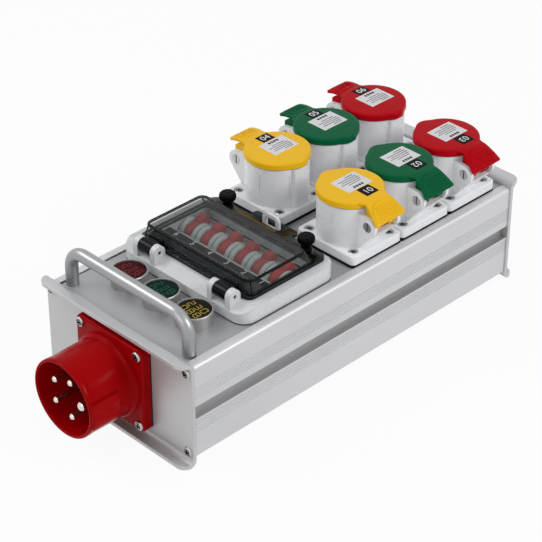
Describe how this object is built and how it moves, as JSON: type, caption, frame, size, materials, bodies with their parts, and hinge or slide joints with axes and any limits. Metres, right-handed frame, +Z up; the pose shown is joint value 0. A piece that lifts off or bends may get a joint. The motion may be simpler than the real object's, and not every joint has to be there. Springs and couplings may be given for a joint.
{
  "type": "portable power distribution box",
  "caption": "Extruded aluminium power distribution box with a pin inlet on its end, a bar handle, round meters, breakers under a smoked hinged cover, and outlets with sprung lids.",
  "frame": {"origin": "middle of the outline on the surface that the box stands on", "axes": "+X along the case, away from the supply inlet; +Z up; +Y to the left seen from the inlet end looking along +X"},
  "size_m": [0.4034, 0.1616, 0.133],
  "materials": {
    "anodised_aluminium": "satin anodised extrusion",
    "panel_aluminium": "satin anodised sheet",
    "plate_aluminium": "satin sheet",
    "handle_aluminium": "satin brushed bar",
    "steel_screws": "bright zinc plated",
    "spring_steel": "plain wire",
    "zinc_steel": "zinc plated sheet",
    "nickel_pins": "nickel plated",
    "contact_brass": "plain brass",
    "black_gasket": "soft matte",
    "red_inlet_plastic": "gloss moulded",
    "dark_red_plastic": "gloss moulded",
    "meter_metal": "turned ring",
    "meter_lens": "dark clear lens",
    "white_plastic": "gloss moulded",
    "carrier_grey": "satin moulded",
    "strip_black": "satin",
    "smoked_cover": "clear smoked sheet",
    "black_plastic": "gloss moulded",
    "thumb_black": "satin knurled",
    "breaker_grey": "satin moulded",
    "toggle_red": "gloss moulded",
    "lid_yellow": "gloss moulded",
    "lid_green": "gloss moulded",
    "lid_red": "gloss moulded"
  },
  "bodies": {
    "case": {"side_rail_left": "anodised_aluminium", "side_rail_right": "anodised_aluminium", "top_panel": "panel_aluminium", "bottom_panel": "panel_aluminium", "front_plate": "plate_aluminium", "rear_plate": "plate_aluminium", "end_plate_screws": "steel_screws", "handle": "handle_aluminium", "handle_screws": "steel_screws", "inlet_gasket": "black_gasket", "inlet_housing": "red_inlet_plastic", "inlet_pin_carrier": "dark_red_plastic", "inlet_pins": "nickel_pins", "inlet_screws": "steel_screws", "meter_lenses": "meter_lens", "meter_nuts": "black_plastic", "window_gasket": "black_gasket", "window_frame": "white_plastic", "label_strip": "strip_black", "cover_hinge_pins": "steel_screws", "din_rail": "zinc_steel", "din_rail_brackets": "zinc_steel", "outlet_gaskets": "black_gasket", "outlet_carriers": "carrier_grey", "outlet_contacts": "contact_brass", "outlet_screws": "steel_screws", "lid_pins": "steel_screws", "lid_springs": "spring_steel", "terminal_bars": "contact_brass", "meter_body_1": "meter_metal", "meter_body_2": "meter_metal", "meter_body_3": "meter_metal", "breaker_1": "breaker_grey", "outlet_housing_1": "white_plastic", "breaker_2": "breaker_grey", "outlet_housing_2": "white_plastic", "breaker_3": "breaker_grey", "outlet_housing_3": "white_plastic", "breaker_4": "breaker_grey", "outlet_housing_4": "white_plastic", "breaker_5": "breaker_grey", "outlet_housing_5": "white_plastic", "breaker_6": "breaker_grey", "outlet_housing_6": "white_plastic"},
    "cover": {"window_cover": "smoked_cover", "cover_knuckles": "black_plastic"},
    "thumbscrew_left": {"thumbscrew_left": "thumb_black"},
    "thumbscrew_right": {"thumbscrew_right": "thumb_black"},
    "toggle_1": {"toggle_1": "toggle_red"},
    "lid_1": {"outlet_lid_1": "lid_yellow"},
    "toggle_2": {"toggle_2": "toggle_red"},
    "lid_2": {"outlet_lid_2": "lid_green"},
    "toggle_3": {"toggle_3": "toggle_red"},
    "lid_3": {"outlet_lid_3": "lid_red"},
    "toggle_4": {"toggle_4": "toggle_red"},
    "lid_4": {"outlet_lid_4": "lid_yellow"},
    "toggle_5": {"toggle_5": "toggle_red"},
    "lid_5": {"outlet_lid_5": "lid_green"},
    "toggle_6": {"toggle_6": "toggle_red"},
    "lid_6": {"outlet_lid_6": "lid_red"}
  },
  "joints": [
    {"name": "lid_1_hinge", "type": "hinge", "parent": "case", "child": "lid_1", "pos_m": [0.04775, -0.069, 0.115], "axis": [1, 0, 0], "range_deg": [0, 85], "stiffness_Nm_per_rad": 0.03, "springref_deg": -20.05},
    {"name": "lid_2_hinge", "type": "hinge", "parent": "case", "child": "lid_2", "pos_m": [0.10135, -0.069, 0.115], "axis": [1, 0, 0], "range_deg": [0, 85], "stiffness_Nm_per_rad": 0.03, "springref_deg": -20.05},
    {"name": "lid_3_hinge", "type": "hinge", "parent": "case", "child": "lid_3", "pos_m": [0.15495, -0.069, 0.115], "axis": [1, 0, 0], "range_deg": [0, 85], "stiffness_Nm_per_rad": 0.03, "springref_deg": -20.05},
    {"name": "lid_4_hinge", "type": "hinge", "parent": "case", "child": "lid_4", "pos_m": [0.04775, 0.069, 0.115], "axis": [-1, 0, 0], "range_deg": [0, 85], "stiffness_Nm_per_rad": 0.03, "springref_deg": -20.05},
    {"name": "lid_5_hinge", "type": "hinge", "parent": "case", "child": "lid_5", "pos_m": [0.10135, 0.069, 0.115], "axis": [-1, 0, 0], "range_deg": [0, 85], "stiffness_Nm_per_rad": 0.03, "springref_deg": -20.05},
    {"name": "lid_6_hinge", "type": "hinge", "parent": "case", "child": "lid_6", "pos_m": [0.15495, 0.069, 0.115], "axis": [-1, 0, 0], "range_deg": [0, 85], "stiffness_Nm_per_rad": 0.03, "springref_deg": -20.05},
    {"name": "cover_hinge", "type": "hinge", "parent": "case", "child": "cover", "pos_m": [-0.08275, 0, 0.101], "axis": [0, -1, 0], "range_deg": [0, 110]},
    {"name": "thumbscrew_left_turn", "type": "hinge", "parent": "cover", "child": "thumbscrew_left", "pos_m": [-0.00145, 0.0416, 0.105], "axis": [0, 0, 1], "continuous": true},
    {"name": "thumbscrew_right_turn", "type": "hinge", "parent": "cover", "child": "thumbscrew_right", "pos_m": [-0.00145, -0.0416, 0.105], "axis": [0, 0, 1], "continuous": true},
    {"name": "toggle_1_pivot", "type": "hinge", "parent": "case", "child": "toggle_1", "pos_m": [-0.03125, 0.045, 0.087], "axis": [0, 1, 0], "range_deg": [-75, 0]},
    {"name": "toggle_2_pivot", "type": "hinge", "parent": "case", "child": "toggle_2", "pos_m": [-0.03125, 0.027, 0.087], "axis": [0, 1, 0], "range_deg": [-75, 0]},
    {"name": "toggle_3_pivot", "type": "hinge", "parent": "case", "child": "toggle_3", "pos_m": [-0.03125, 0.009, 0.087], "axis": [0, 1, 0], "range_deg": [-75, 0]},
    {"name": "toggle_4_pivot", "type": "hinge", "parent": "case", "child": "toggle_4", "pos_m": [-0.03125, -0.009, 0.087], "axis": [0, 1, 0], "range_deg": [-75, 0]},
    {"name": "toggle_5_pivot", "type": "hinge", "parent": "case", "child": "toggle_5", "pos_m": [-0.03125, -0.027, 0.087], "axis": [0, 1, 0], "range_deg": [-75, 0]},
    {"name": "toggle_6_pivot", "type": "hinge", "parent": "case", "child": "toggle_6", "pos_m": [-0.03125, -0.045, 0.087], "axis": [0, 1, 0], "range_deg": [-75, 0]}
  ]
}
